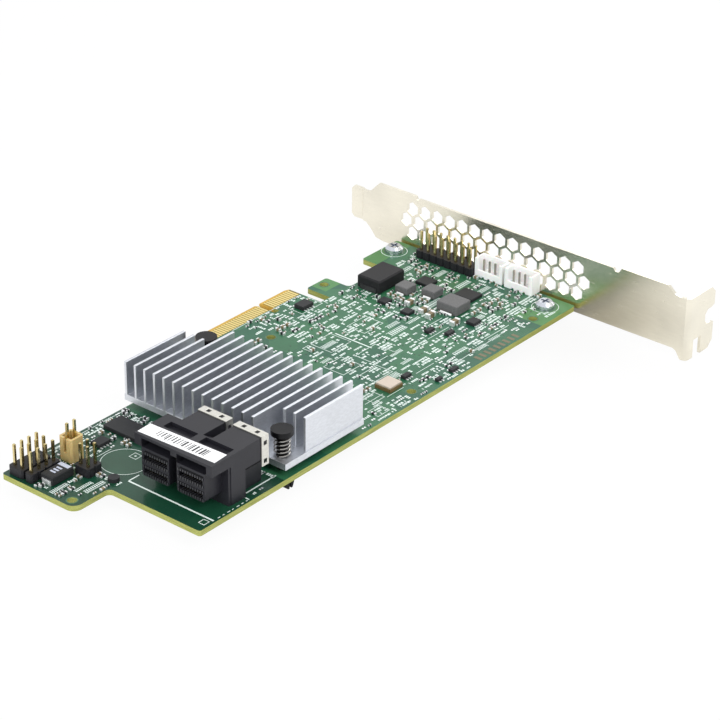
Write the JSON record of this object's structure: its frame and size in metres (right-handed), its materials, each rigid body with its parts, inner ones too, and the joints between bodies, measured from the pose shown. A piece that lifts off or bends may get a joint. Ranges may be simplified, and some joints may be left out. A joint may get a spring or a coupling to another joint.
{
  "type": "raid controller card",
  "caption": "Low expansion board with edge fingers, finned heatsink, twin drive receptacle, pin headers and a vented full-height bracket.",
  "frame": {"origin": "centre of the key notch at the contact edge, on the component-side face of the board", "axes": "+X along the card away from the bracket, +Y away from the edge fingers towards the screw tab, +Z out of the component side"},
  "size_m": [0.1814, 0.12, 0.0212],
  "materials": {
    "board_laminate": "green solder mask over glass laminate",
    "contact_gold": "gold plate over nickel",
    "bracket_steel": "satin nickel plate",
    "screw_steel": "nickel plate",
    "heatsink_aluminium": "extruded and sawn, clear",
    "chip_package": "moulded epoxy",
    "processor_package": "laminate with bare die",
    "thermal_pad_grey": "soft pad",
    "push_pin_nylon": "moulded nylon",
    "spring_steel": "plain wire",
    "receptacle_plastic": "moulded, satin",
    "clip_steel": "stamped",
    "label_film": "printed film",
    "header_plastic": "moulded, satin",
    "header_pin_gold": "gold flash",
    "socket_white": "moulded nylon",
    "socket_cream": "moulded nylon",
    "inductor_black": "moulded powder core",
    "inductor_grey": "pressed powder core",
    "terminal_tin": "tin plate",
    "ceramic_tan": "sintered ceramic",
    "resistor_dark": "glazed ceramic",
    "oscillator_ceramic": "ceramic",
    "oscillator_metal": "sealed lid"
  },
  "bodies": {
    "root": {"pcb": "board_laminate", "edge_contacts_component_side": "contact_gold", "edge_contacts_solder_side": "contact_gold", "io_bracket": "bracket_steel", "bracket_screws": "screw_steel", "heatsink": "heatsink_aluminium", "raid_processor": "processor_package", "thermal_pad": "thermal_pad_grey", "push_pins": "push_pin_nylon", "push_pin_springs": "spring_steel", "sas_housing": "receptacle_plastic", "sas_contacts": "contact_gold", "sas_retaining_clips": "clip_steel", "sas_label": "label_film", "module_header_base": "header_plastic", "module_header_pins": "header_pin_gold", "cable_header_base": "header_plastic", "cable_header_pins": "header_pin_gold", "jumper_row_base": "header_plastic", "jumper_row_pins": "header_pin_gold", "service_header_base": "header_plastic", "service_header_pins": "header_pin_gold", "activity_sockets": "socket_white", "activity_socket_pins": "header_pin_gold", "fan_socket": "socket_cream", "fan_socket_pins": "header_pin_gold", "power_inductor": "inductor_black", "power_inductor_terminals": "terminal_tin", "grey_inductors": "inductor_grey", "grey_inductor_terminals": "terminal_tin", "power_stage_chips": "chip_package", "tantalum_capacitor": "chip_package", "tantalum_terminals": "terminal_tin", "bulk_capacitors": "ceramic_tan", "memory_chip": "chip_package", "oscillator_base": "oscillator_ceramic", "oscillator_lid": "oscillator_metal", "small_chips": "chip_package", "small_chip_leads": "terminal_tin", "round_choke": "inductor_grey", "chip_capacitors": "ceramic_tan", "chip_resistors": "resistor_dark", "solder_side_capacitors": "ceramic_tan"}
  },
  "joints": []
}
